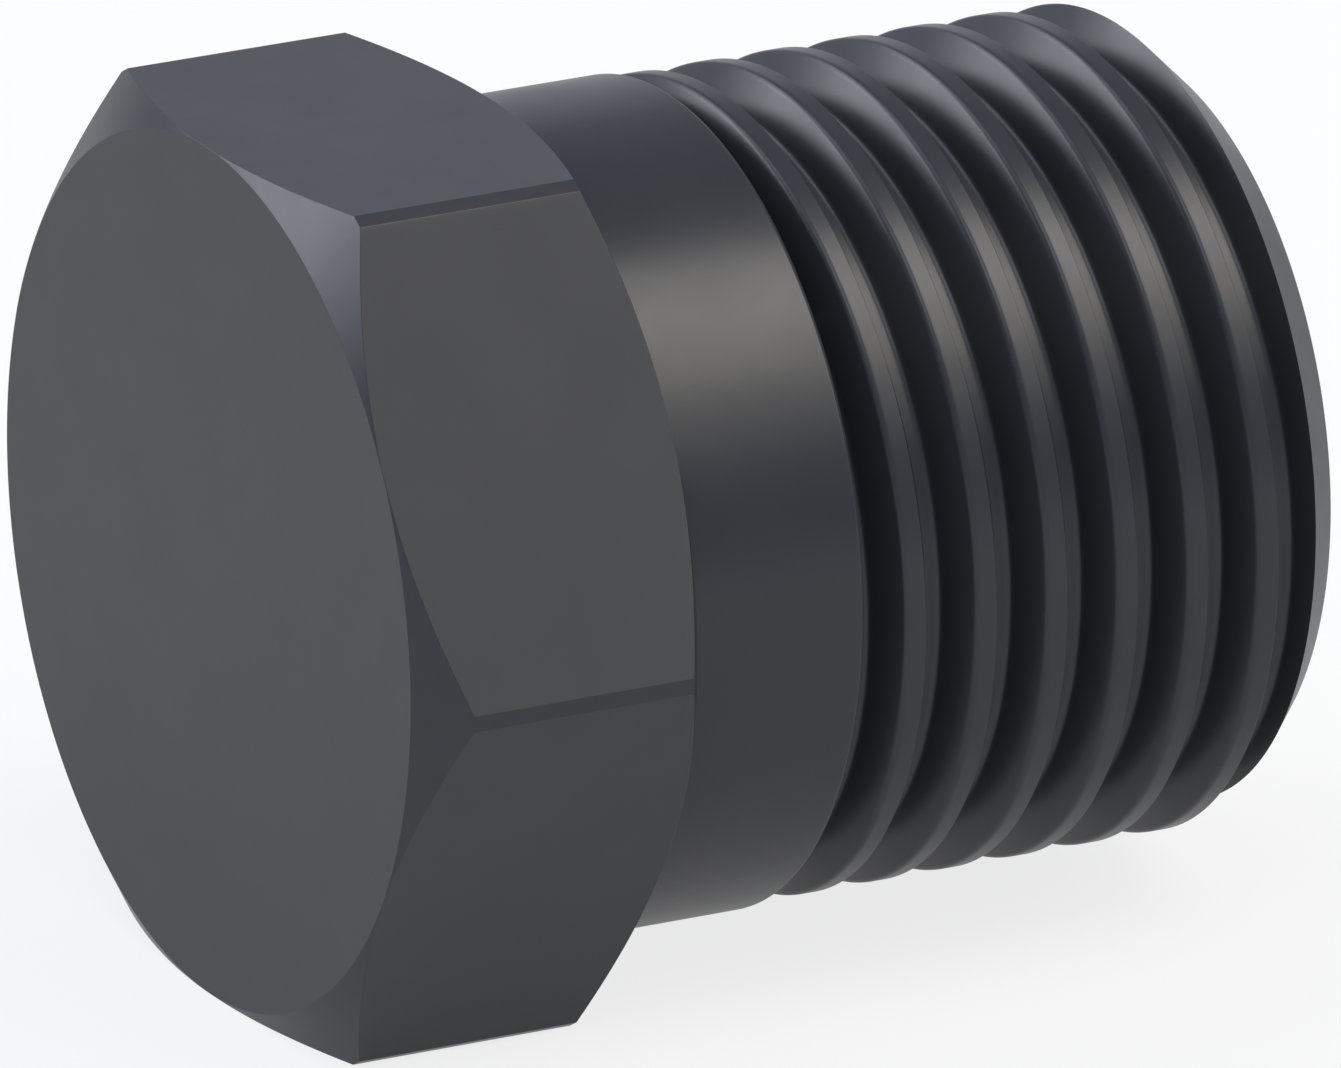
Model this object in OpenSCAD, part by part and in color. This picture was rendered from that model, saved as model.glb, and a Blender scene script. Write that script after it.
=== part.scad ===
// Hexagon head blanking plug, turned and threaded from one bar: a chamfered hexagon,
// a plain neck and a right-hand male thread with a chamfered point.
// The axis lies along X with the thread towards +X. The origin is on the axis, in the
// plane of the head's underside. One flat of the hexagon faces straight down.

/* [Head] */
// Width across two opposite flats
hex_af = 16.85; // [16.6:0.05:24]
// Height of the head along the axis, both chamfers included
head_h = 6; // [4:0.25:12]
// Slope of both chamfers against the head's end faces
head_chamfer_angle = 30; // [15:1:40]
// Width of the narrow land where each corner of the hexagon is turned down
corner_land = 0.3; // [0.1:0.05:0.8]
// How far the round end faces stay inside the flats
face_inset = 0.01; // [0.01:0.01:0.15]

/* [Neck] */
// Diameter of the plain neck
neck_d = 16; // [15.9:0.05:16.3]
// Length of the neck from the head's underside to the thread
neck_l = 3.75; // [2:0.25:10]
// Length of the slight taper that ends the neck
neck_taper_l = 0.3; // [0.1:0.05:0.8]

/* [Thread] */
// Diameter over the crests as made, a little under the nominal 16
thread_d = 15.85; // [15:0.05:15.85]
// Distance from one crest to the next
thread_pitch = 1.5; // [1:0.25:2]
// Length of the threaded end, its chamfer included
thread_l = 10.5; // [6:0.25:30]
// Angle between the two flanks
flank_angle = 60; // [55:5:60]
// Width of the flat on each crest
crest_w = 0.3; // [0.15:0.01:0.35]
// Width of the flat at each root
root_w = 0.25; // [0.15:0.01:0.35]
// Turn of the thread's start about the axis
start_angle = 180; // [0:4:360]
// Length of the chamfer at the point, at 45 degrees
point_chamfer = 1; // [0.7:0.05:1.5]

/* [Hidden] */

STEEL = [0.27, 0.28, 0.3];

hex_r = hex_af / sqrt(3);
face_r = hex_af / 2 - face_inset;
// Radius of the corners' lands, from what is left of each flat
corner_r = norm([hex_af / 2, hex_r / 2 - corner_land / 2 / cos(30)]);
neck_r = neck_d / 2;
crest_r = thread_d / 2;
point_r = crest_r - point_chamfer;
plug_end = neck_l + thread_l;

// Depth of the groove, from its flat root and the slope of its flanks
flank_w = (thread_pitch - crest_w - root_w) / 2;
thread_h = flank_w / tan(flank_angle / 2);

// Steps in one turn of the thread
TURN_STEPS = 48;
// How far the helix runs on inside the neck, so that the two are one body
overlap = 0.6;
// Height of the small step that is left where the neck's taper meets the crests
NECK_STEP = 0.02;
// Half the width and the depth of the round break on a crest's edge
break_w = min(0.06, crest_w / 4);
break_h = break_w / 2;
// One pitch of the profile: distance along the axis and depth, from the crest's middle
profile = [
    [-crest_w / 2 - break_h * tan(flank_angle / 2), break_h],
    [-crest_w / 2 + break_w, 0],
    [crest_w / 2 - break_w, 0],
    [crest_w / 2 + break_h * tan(flank_angle / 2), break_h],
    [crest_w / 2 + flank_w, thread_h],
    [crest_w / 2 + flank_w + root_w, thread_h]
];

// Radius of the thread at x along the axis, where the crest's middle is at x = 0
function profile_r(x, i = 0) =
    let (
        p = thread_pitch,
        t = x - floor((x - profile[0][0]) / p) * p,
        a = profile[i],
        b = i + 1 < len(profile) ? profile[i + 1] : profile[0] + [p, 0]
    )
    t <= b[0] || i + 1 == len(profile)
        ? crest_r - a[1] - (b[1] - a[1]) * (t - a[0]) / (b[0] - a[0])
        : profile_r(x, i + 1);

// Lays a part made along Z down along X, with its Y up
module along_x() {
    rotate([90, 0, 90])
        children();
}

// A hexagon bar, turned to the shape of its corners and of its round end faces
module head() {
    chamfer_h = (corner_r - face_r) * tan(head_chamfer_angle);
    along_x()
        translate([0, 0, -head_h])
            intersection() {
                cylinder(h = head_h, r = hex_r, $fn = 6);
                rotate_extrude($fn = 96)
                    polygon([
                        [0, 0],
                        [face_r, 0],
                        [corner_r, chamfer_h],
                        [corner_r, head_h - chamfer_h],
                        [face_r, head_h],
                        [0, head_h]
                    ]);
            }
}

module neck() {
    along_x()
        rotate_extrude($fn = 96)
            polygon([
                [0, -head_h / 2],
                [neck_r, -head_h / 2],
                [neck_r, neck_l - neck_taper_l],
                [crest_r + NECK_STEP, neck_l],
                [0, neck_l]
            ]);
}

// The threaded end: rows of points along the helix, closed by a cap at each end
module thread() {
    n = TURN_STEPS;
    rows_per_pitch = len(profile);
    x_first = neck_l - overlap;
    first_pitch = floor((x_first - neck_l) / thread_pitch) - 2;
    last_pitch = ceil(thread_l / thread_pitch) + 2;
    rows = (last_pitch - first_pitch) * rows_per_pitch;
    phase = neck_l + start_angle / 360 * thread_pitch;

    function row_x(row, k) =
        phase + profile[row % rows_per_pitch][0]
            + (first_pitch + floor(row / rows_per_pitch) + k / n) * thread_pitch;
    function point_at(row, k) =
        let (
            x = min(max(row_x(row, k), x_first), plug_end),
            r = min(profile_r(x - phase - k / n * thread_pitch), point_r + plug_end - x)
        )
        [x, -r * sin(360 * k / n), r * cos(360 * k / n)];

    points = [
        for (row = [0:rows]) for (k = [0:n - 1]) point_at(row, k),
        [x_first, 0, 0],
        [plug_end, 0, 0]
    ];
    start_cap = (rows + 1) * n;
    end_cap = start_cap + 1;
    // Past the last step the helix joins on one pitch further up
    function at(row, k) = k < n ? row * n + k : min(row + rows_per_pitch, rows) * n;
    faces = [
        for (k = [0:n - 1]) [start_cap, at(0, k), at(0, (k + 1) % n)],
        for (row = [0:rows - 1]) for (k = [0:n - 1]) each [
            [at(row, k), at(row + 1, k + 1), at(row, k + 1)],
            [at(row, k), at(row + 1, k), at(row + 1, k + 1)]
        ],
        for (k = [0:n - 1]) [end_cap, at(rows, (k + 1) % n), at(rows, k)]
    ];
    polyhedron(points, faces);
}

module plug() {
    color(STEEL) {
        head();
        neck();
        thread();
    }
}

plug();
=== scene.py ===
"""The looks of a hexagon head blanking plug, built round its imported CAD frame.

One closed mesh stands for the CAD node. Its profile is laid out in columns round the axis, with broken
edges on the head and a finely stepped helix for the thread. Sizes are in millimetres until the mesh is made.
"""

import math

import bmesh
import bpy
import numpy as np
from mathutils import Matrix, Vector


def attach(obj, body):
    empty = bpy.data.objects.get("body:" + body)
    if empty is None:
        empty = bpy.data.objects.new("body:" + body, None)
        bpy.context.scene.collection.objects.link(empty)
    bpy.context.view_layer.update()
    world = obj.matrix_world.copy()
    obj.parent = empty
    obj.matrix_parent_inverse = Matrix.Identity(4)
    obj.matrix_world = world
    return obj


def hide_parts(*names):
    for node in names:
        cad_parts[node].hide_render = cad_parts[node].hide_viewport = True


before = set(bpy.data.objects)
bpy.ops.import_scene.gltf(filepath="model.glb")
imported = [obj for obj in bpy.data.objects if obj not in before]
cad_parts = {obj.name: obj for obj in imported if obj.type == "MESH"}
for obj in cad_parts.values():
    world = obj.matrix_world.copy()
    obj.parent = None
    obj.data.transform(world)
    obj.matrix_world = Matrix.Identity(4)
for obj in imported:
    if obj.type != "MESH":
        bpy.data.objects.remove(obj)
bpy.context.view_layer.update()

MM = 0.001

# Head: sides, width across flats, height, radius of its round end faces, chamfer slope, and the width of
# the lands at its corners
SIDES = 6
HEX_AF = 16.85
HEAD_H = 6.0
FACE_R = 8.415
CHAMFER_SLOPE = math.tan(math.radians(30))
LAND_W = 0.3

# Neck: radius, length, the taper that ends it, and how far above the crests the taper ends
NECK_R = 8.0
NECK_L = 3.75
TAPER_L = 0.08
NECK_STEP = 0.02

# Thread: crest radius, pitch, length, flats at crest and root, start (in turns), chamfer at the point.
# The flank that faces the point never shows in the photograph. It is a little steeper than the other,
# because that gives the lit and dark bands on the near side their widths.
CREST_R = 7.925
PITCH = 1.5
THREAD_L = 10.5
CREST_W = 0.39
ROOT_W = 0.3
HEAD_FLANK_SLOPE = math.tan(math.radians(30))
POINT_FLANK_SLOPE = math.tan(math.radians(26))
START_TURN = 0.5
POINT_CHAMFER = 1.0

# Where the plug ends, its radius there, and radius plus x, which is the same all over the point's cone
END = NECK_L + THREAD_L
POINT_R = CREST_R - POINT_CHAMFER
CONE = POINT_R + END

# How far from a sharp edge its rounding starts: round the head's end faces, along the chamfers on the flats,
# beside the corners' lands, under the head, at both ends of the neck's taper, and round the point's end face
FACE_EDGE = 0.01
FLAT_EDGE = 0.008
LAND_EDGE = 0.006
NECK_FILLET = 0.12
TAPER_EDGE = 0.02
WALL_EDGE = 0.015
POINT_EDGE = 0.05

# The same for the thread: a crest's edges towards the point and the head, and the feet of the flanks
# that face them
CREST_POINT_EDGE = 0.012
CREST_HEAD_EDGE = 0.08
POINT_FLANK_FOOT = 0.03
HEAD_FLANK_FOOT = 0.1

# A rounding starts within this share of the shorter of its two sides, on the head and on the thread
EDGE_SHARE = 0.3
THREAD_EDGE_SHARE = 0.62
# Beside each rounding a supporting point lies this many times as far from the corner
SUPPORT = 1.5
# How far below the crests the neck's wall is drawn to give it a direction, in a row that the mesh leaves out
WALL_GUIDE = 0.05

# Mesh steps: columns to a turn, steps in a rounding, and the degrees that stay free between the columns
# of a flat and those of its edge
TURN_COLUMNS = 240
EDGE_STEPS = 4
COLUMN_GAP = 0.3
# Turns of thread rows before its start and past its end, where they run together
LEAD_TURNS = 3
TAIL_TURNS = 2
# Points nearer than this, in metres, are merged
MERGE = 1.5e-7
# Edges sharper than this, in degrees, stay sharp in the shading
SHARP_DEG = 38
# The least length of a side and the least change that something is divided by
LEAST_SIDE = 1e-9
LEAST_CHANGE = 1e-12

# Finish: its two shades, range of roughness, share of metal, and bump
STEEL_DARK = (0.0525, 0.0535, 0.0595, 1)
STEEL_LIGHT = (0.0565, 0.0575, 0.0635, 1)
STEEL_ROUGHNESS = (0.29, 0.33)
STEEL_METALLIC = 0.62
BUMP_STRENGTH = 0.05
BUMP_HEIGHT = 0.00001

# Its noises: scale (to a metre) and detail of each, how much narrower the marks are along the axis than
# round it, their roughness, and the middle part of their range, which is spread over shades or roughness
MOTTLE_NOISE = (420, 3)
SHEEN_NOISE = (900, 4)
MARKS_NOISE = (420, 2)
GRAIN_NOISE = (5200, 2)
MARKS_STRETCH = 26
NOISE_ROUGHNESS = 0.55
NOISE_LOW = 0.3
NOISE_HIGH = 0.7

# Floor: height, side and grey, and the glow that the camera and the metal see in it, by colour, share
# and brightness
FLOOR_Z = -HEX_AF / 2
FLOOR_SIDE = 6000.0
FLOOR_COLOR = (0.86, 0.86, 0.86, 1)
GLOW_COLOR = (1, 1, 1, 1)
GLOW_SHARE = {"camera": 0.8, "metal": 0.75}
GLOW_LEVEL = {"camera": 1.0, "metal": 0.66}

# Soft boxes: turn about the plug's axis from straight up towards the front, lean towards the thread,
# distance, width along the plug and height round it in mm, and brightness in red, green and blue
LIGHTS = {
    "key_high": (14, 26, 420, 200, 130, (3.75, 3.5, 2.95)),
    "key_middle": (31, 26, 420, 200, 133, (3.05, 2.85, 2.27)),
    "key_low": (49, 26, 420, 200, 140, (0.9, 0.84, 0.64)),
    "key_right": (31, 54, 420, 200, 230, (1.95, 1.93, 1.9)),
    "key_left": (22, -18, 480, 260, 260, (1.5, 1.5, 1.5)),
    "over_left": (-22, -22, 520, 260, 230, (1.1, 1.15, 1.25)),
    "back_left": (-54, -22, 600, 320, 270, (1.9, 1.95, 2.05)),
    "back_right": (-74, 27, 600, 480, 280, (0.18, 0.17, 0.15)),
    "left_back": (-62, -42, 600, 300, 230, (3.55, 3.7, 3.7)),
    "left_low": (-56, -58, 600, 190, 300, (1.75, 1.85, 1.85)),
}
WORLD_COLOR = (0.355, 0.392, 0.49, 1)

# Camera, from the fit to the photograph: that picture's width in pixels, turn, height and roll in degrees,
# distance in mm, pixels to a mm, offsets in pixels, and the sensor's width in mm
PHOTO_W = 1341
CAM_TURN = 27.6183
CAM_HEIGHT = 19.9584
CAM_ROLL = 0.2941
CAM_DISTANCE = 593.4
CAM_SCALE = 53.0926
CAM_RIGHT = -179.619
CAM_DOWN = -11.652
SENSOR = 36.0

# How near and how far the camera sees, in metres
CLIP_START = 0.01
CLIP_END = 20


def soften(lines, reaches, share=EDGE_SHARE):
    """Rounds the inner corners of one polyline per column, with supporting points beside each rounding."""
    out = [lines[:, 0]]
    length = np.linalg.norm(np.diff(lines, axis=1), axis=2)
    for i in range(1, lines.shape[1] - 1):
        corner, before, after = lines[:, i], lines[:, i - 1], lines[:, i + 1]
        room = np.minimum(length[:, i - 1], length[:, i])
        reach = np.minimum(reaches[i - 1], share * room)[:, None]
        back = (before - corner) / np.maximum(length[:, i - 1], LEAST_SIDE)[:, None]
        ahead = (after - corner) / np.maximum(length[:, i], LEAST_SIDE)[:, None]
        out.append(corner + SUPPORT * reach * back)
        for t in np.linspace(0, 1, EDGE_STEPS + 1):
            out.append(corner + (1 - t) ** 2 * reach * back + t**2 * reach * ahead)
        out.append(corner + SUPPORT * reach * ahead)
    out.append(lines[:, -1])
    return np.stack(out, 1)


def hexagon_columns():
    """Angles (degrees from +Z towards -Y) of the columns, and the head's radius at each."""
    half = HEX_AF / 2
    half_angle = math.pi / SIDES
    half_side = half * math.tan(half_angle) - LAND_W / 2 / math.cos(half_angle)
    land_r = math.hypot(half, half_side)
    land = (land_r * math.cos(half_angle), land_r * math.sin(half_angle))
    edge = soften(np.array([[(half, 0), (half, half_side), land]]), [LAND_EDGE])[0, 1:]
    edge_deg = np.degrees(np.arctan2(edge[:, 1], edge[:, 0]))
    edge_r = np.hypot(edge[:, 0], edge[:, 1])

    side_deg = 360 / SIDES
    flat_deg = np.linspace(-side_deg / 2, side_deg / 2, TURN_COLUMNS // SIDES, endpoint=False)
    flat_deg = flat_deg[np.abs(flat_deg) < edge_deg[0] - COLUMN_GAP]
    flat_r = half / np.cos(np.radians(flat_deg))

    # The edge before the flat is the mirrored one, without the land's middle, where the side before it
    # ends, and without the point on the flat
    side = np.concatenate([-edge_deg[-2:0:-1], flat_deg, edge_deg])
    side_r = np.concatenate([edge_r[-2:0:-1], flat_r, edge_r])
    return np.concatenate([side + side_deg * k for k in range(SIDES)]), np.tile(side_r, SIDES)


def thread_profile():
    """One pitch of the thread as (distance from the crest's middle, radius), with edges and roots rounded."""
    depth = (PITCH - CREST_W - ROOT_W) / (HEAD_FLANK_SLOPE + POINT_FLANK_SLOPE)
    root_r = CREST_R - depth
    crest_end = CREST_W / 2
    root_start = crest_end + depth * POINT_FLANK_SLOPE
    line = np.array([[
        (0, CREST_R),
        (crest_end, CREST_R),
        (root_start, root_r),
        (root_start + ROOT_W, root_r),
        (PITCH - crest_end, CREST_R),
        (PITCH, CREST_R),
    ]])
    reaches = [CREST_POINT_EDGE, POINT_FLANK_FOOT, HEAD_FLANK_FOOT, CREST_HEAD_EDGE]
    return soften(line, reaches, THREAD_EDGE_SHARE)[0]


PROFILE = thread_profile()
ROOT_R = PROFILE[:, 1].min()


def thread_radius(x, turn):
    """Radius of the thread's surface at x, where turn is the column's angle in turns."""
    from_crest = np.mod(x - NECK_L - (START_TURN + turn) * PITCH, PITCH)
    return np.interp(from_crest, PROFILE[:, 0], PROFILE[:, 1])


def head_and_neck(radius):
    """(radius, x) rows from the middle of the head's face to the end of the neck."""
    drop = (radius - FACE_R) * CHAMFER_SLOPE
    outline = [
        (0, -HEAD_H),
        (FACE_R, -HEAD_H),
        (radius, -HEAD_H + drop),
        (radius, -drop),
        (FACE_R, 0),
        (NECK_R, 0),
        (NECK_R, NECK_L - TAPER_L),
        (CREST_R + NECK_STEP, NECK_L),
        (CREST_R - WALL_GUIDE, NECK_L),
    ]
    every = np.ones(len(radius))
    lines = np.stack([np.stack([r * every, x * every], 1) for r, x in outline], 1)
    reaches = [FACE_EDGE, FLAT_EDGE, FLAT_EDGE, FACE_EDGE, NECK_FILLET, TAPER_EDGE, WALL_EDGE]
    return soften(lines, reaches)[:, :-1]


def cone_crossing(before, after):
    """Where each column's step from before to after crosses the point's cone, or else the nearer end."""
    out_before, out_after = before.sum(1) - CONE, after.sum(1) - CONE
    change = out_before - out_after
    share = np.clip(out_before / np.where(np.abs(change) < LEAST_CHANGE, 1, change), 0, 1)[:, None]
    crossing = before + share * (after - before)
    crossing[:, 0] = np.minimum(crossing[:, 0], CONE - crossing[:, 1])
    return crossing


def thread_rows(turn):
    """(radius, x) rows of the helix from the neck's end to where the point's cone reaches the root."""
    start = NECK_L + START_TURN * PITCH
    stop = END - (ROOT_R - POINT_R)
    rows = []
    last = None
    for k in range(-LEAD_TURNS, math.ceil(THREAD_L / PITCH) + TAIL_TURNS):
        for from_crest in PROFILE[:-1, 0]:
            x = np.clip(start + from_crest + (turn + k) * PITCH, NECK_L, stop)
            here = np.stack([thread_radius(x, turn), x], 1)
            if last is not None and x.max() > END - POINT_CHAMFER:
                rows.append(cone_crossing(last, here))
            rows.append(np.stack([np.minimum(here[:, 0], CONE - x), x], 1))
            last = here
    return np.stack(rows, 1)


def point_rows(columns):
    """(radius, x) rows of the rest of the point's cone and of the end face, the same for every column."""
    line = np.array([[(ROOT_R, END - (ROOT_R - POINT_R)), (POINT_R, END), (0, END)]])
    return np.tile(soften(line, [POINT_EDGE])[:, 1:], (columns, 1, 1))


def plug_mesh():
    """The whole plug as one closed mesh: a grid of columns and rows, merged where the rows run together."""
    angles, radius = hexagon_columns()
    angles = np.append(angles, angles[0] + 360)
    radius = np.append(radius, radius[0])
    turn = angles / 360
    grid = np.concatenate([head_and_neck(radius), thread_rows(turn), point_rows(len(turn))], 1)
    columns, rows = grid.shape[:2]
    around = np.radians(angles)[:, None]
    r, x = grid[..., 0], grid[..., 1]
    points = np.stack([x, -r * np.sin(around), r * np.cos(around)], 2) * MM
    index = np.arange(columns * rows).reshape(columns, rows)
    quads = np.stack([index[:-1, :-1], index[1:, :-1], index[1:, 1:], index[:-1, 1:]], 2).reshape(-1, 4)

    mesh = bpy.data.meshes.new("plug_body")
    mesh.from_pydata(points.reshape(-1, 3).tolist(), [], quads.tolist())
    bm = bmesh.new()
    bm.from_mesh(mesh)
    bmesh.ops.remove_doubles(bm, verts=bm.verts, dist=MERGE)
    bmesh.ops.dissolve_degenerate(bm, edges=bm.edges, dist=MERGE / 2)
    bmesh.ops.recalc_face_normals(bm, faces=bm.faces)
    bm.to_mesh(mesh)
    bm.free()
    mesh.shade_smooth()
    mesh.set_sharp_from_angle(angle=math.radians(SHARP_DEG))
    return mesh


def add_node(tree, kind, **inputs):
    """A node with some of its inputs set."""
    node = tree.nodes.new(kind)
    for name, value in inputs.items():
        node.inputs[name.replace("_", " ")].default_value = value
    return node


def scaled_noise(tree, place, scale, detail):
    """A noise of the given scale and detail."""
    noise = add_node(tree, "ShaderNodeTexNoise", Scale=scale, Detail=detail, Roughness=NOISE_ROUGHNESS)
    tree.links.new(place, noise.inputs["Vector"])
    return noise.outputs["Fac"]


def spread(tree, value, low, high):
    """Maps the middle part of a noise's range to low..high."""
    node = add_node(tree, "ShaderNodeMapRange", From_Min=NOISE_LOW, From_Max=NOISE_HIGH)
    node.inputs["To Min"].default_value = low
    node.inputs["To Max"].default_value = high
    tree.links.new(value, node.inputs["Value"])
    return node.outputs["Result"]


def mottled_color(tree, place):
    """Faint mottling between the finish's two shades."""
    ramp = tree.nodes.new("ShaderNodeValToRGB")
    dark, light = ramp.color_ramp.elements
    dark.position = NOISE_LOW
    dark.color = STEEL_DARK
    light.position = NOISE_HIGH
    light.color = STEEL_LIGHT
    tree.links.new(scaled_noise(tree, place, *MOTTLE_NOISE), ramp.inputs["Fac"])
    return ramp.outputs["Color"]


def turning_marks(tree, place):
    """The slight bump of fine turning marks round the axis and of the finish's grain."""
    stretch = add_node(tree, "ShaderNodeMapping", Scale=(MARKS_STRETCH, 1, 1))
    tree.links.new(place, stretch.inputs["Vector"])
    marks = scaled_noise(tree, stretch.outputs["Vector"], *MARKS_NOISE)
    grain = scaled_noise(tree, place, *GRAIN_NOISE)
    both = tree.nodes.new("ShaderNodeMath")
    both.operation = "ADD"
    tree.links.new(marks, both.inputs[0])
    tree.links.new(grain, both.inputs[1])
    bump = add_node(tree, "ShaderNodeBump", Strength=BUMP_STRENGTH, Distance=BUMP_HEIGHT)
    tree.links.new(both.outputs[0], bump.inputs["Height"])
    return bump.outputs["Normal"]


def blackened_steel():
    """Turned steel with a dark satin oxide finish."""
    mat = bpy.data.materials.new("blackened_steel")
    mat.use_nodes = True
    tree = mat.node_tree
    shader = tree.nodes["Principled BSDF"]
    place = tree.nodes.new("ShaderNodeTexCoord").outputs["Object"]
    sheen = scaled_noise(tree, place, *SHEEN_NOISE)
    tree.links.new(mottled_color(tree, place), shader.inputs["Base Color"])
    tree.links.new(spread(tree, sheen, *STEEL_ROUGHNESS), shader.inputs["Roughness"])
    tree.links.new(turning_marks(tree, place), shader.inputs["Normal"])
    shader.inputs["Metallic"].default_value = STEEL_METALLIC
    return mat


def weighted_rays(tree, rays, camera, metal):
    """One value for what the camera sees, another for what metal or glass shows, and 0 for all the rest."""
    total = None
    for name, part in (("Is Camera Ray", camera), ("Is Glossy Ray", metal), ("Is Transmission Ray", metal)):
        term = tree.nodes.new("ShaderNodeMath")
        term.operation = "MULTIPLY_ADD"
        tree.links.new(rays.outputs[name], term.inputs[0])
        term.inputs[1].default_value = part
        term.inputs[2].default_value = 0
        if total is not None:
            tree.links.new(total, term.inputs[2])
        total = term.outputs[0]
    return total


def floor_material():
    """Pale floor that is nearly white to the camera, light grey in the metal, and keeps a soft shadow."""
    mat = bpy.data.materials.new("pale_floor")
    mat.use_nodes = True
    tree = mat.node_tree
    tree.nodes.clear()
    out = tree.nodes.new("ShaderNodeOutputMaterial")
    matt = add_node(tree, "ShaderNodeBsdfDiffuse", Color=FLOOR_COLOR)
    glow = add_node(tree, "ShaderNodeEmission", Color=GLOW_COLOR)
    rays = tree.nodes.new("ShaderNodeLightPath")
    mix = tree.nodes.new("ShaderNodeMixShader")
    tree.links.new(weighted_rays(tree, rays, **GLOW_LEVEL), glow.inputs["Strength"])
    tree.links.new(weighted_rays(tree, rays, **GLOW_SHARE), mix.inputs["Fac"])
    tree.links.new(matt.outputs["BSDF"], mix.inputs[1])
    tree.links.new(glow.outputs["Emission"], mix.inputs[2])
    tree.links.new(mix.outputs["Shader"], out.inputs["Surface"])
    return mat


def add_floor():
    """One large square under the plug's lower flat."""
    half = FLOOR_SIDE / 2 * MM
    z = FLOOR_Z * MM
    corners = [(-half, -half, z), (half, -half, z), (half, half, z), (-half, half, z)]
    mesh = bpy.data.meshes.new("floor")
    mesh.from_pydata(corners, [], [(0, 1, 2, 3)])
    mesh.materials.append(floor_material())
    floor = bpy.data.objects.new("floor", mesh)
    bpy.context.scene.collection.objects.link(floor)


def add_lights():
    """Each soft box is an area light whose face has the stated brightness, where 1 is white."""
    for name, (turn, lean, distance, width, height, level) in LIGHTS.items():
        turn, lean = math.radians(turn), math.radians(lean)
        way = Vector((math.sin(lean), -math.cos(lean) * math.sin(turn), math.cos(lean) * math.cos(turn)))
        along = (Vector((1, 0, 0)) - way.x * way).normalized()
        lamp = bpy.data.lights.new(name, "AREA")
        lamp.shape = "RECTANGLE"
        lamp.size = width * MM
        lamp.size_y = height * MM
        lamp.energy = max(level) * math.pi * width * height * MM**2
        lamp.color = [c / max(level) for c in level]
        box = bpy.data.objects.new(name, lamp)
        axes = Matrix((along, way.cross(along), way)).transposed().to_4x4()
        box.matrix_world = Matrix.Translation(way * distance * MM) @ axes
        bpy.context.scene.collection.objects.link(box)


def set_world():
    """Even, slightly blue light from all round."""
    world = bpy.data.worlds.new("studio")
    world.use_nodes = True
    world.node_tree.nodes["Background"].inputs["Color"].default_value = WORLD_COLOR
    bpy.context.scene.world = world


def add_camera():
    """The fitted camera: it looks at the plug from the head's side, a little from above."""
    az, el, roll = (math.radians(v) for v in (CAM_TURN, CAM_HEIGHT, CAM_ROLL))
    ahead = Vector((math.sin(az) * math.cos(el), math.cos(az) * math.cos(el), -math.sin(el)))
    flat = Vector((math.cos(az), -math.sin(az), 0))
    over = flat.cross(ahead)
    right = flat * math.cos(roll) + over * math.sin(roll)
    up = over * math.cos(roll) - flat * math.sin(roll)
    place = (-CAM_RIGHT / CAM_SCALE * right + CAM_DOWN / CAM_SCALE * up - CAM_DISTANCE * ahead) * MM
    turn = Matrix((right, up, -ahead)).transposed().to_4x4()
    lens = bpy.data.cameras.new("camera")
    lens.sensor_width = SENSOR
    lens.lens = CAM_SCALE * CAM_DISTANCE / PHOTO_W * SENSOR
    lens.clip_start = CLIP_START
    lens.clip_end = CLIP_END
    camera = bpy.data.objects.new("camera", lens)
    camera.matrix_world = Matrix.Translation(place) @ turn
    bpy.context.scene.collection.objects.link(camera)
    bpy.context.scene.camera = camera


plug = bpy.data.objects.new("plug_body", plug_mesh())
plug.data.materials.append(blackened_steel())
bpy.context.scene.collection.objects.link(plug)
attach(plug, "root")
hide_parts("plug")

add_floor()
add_lights()
set_world()
add_camera()
bpy.context.scene.view_settings.view_transform = "Standard"
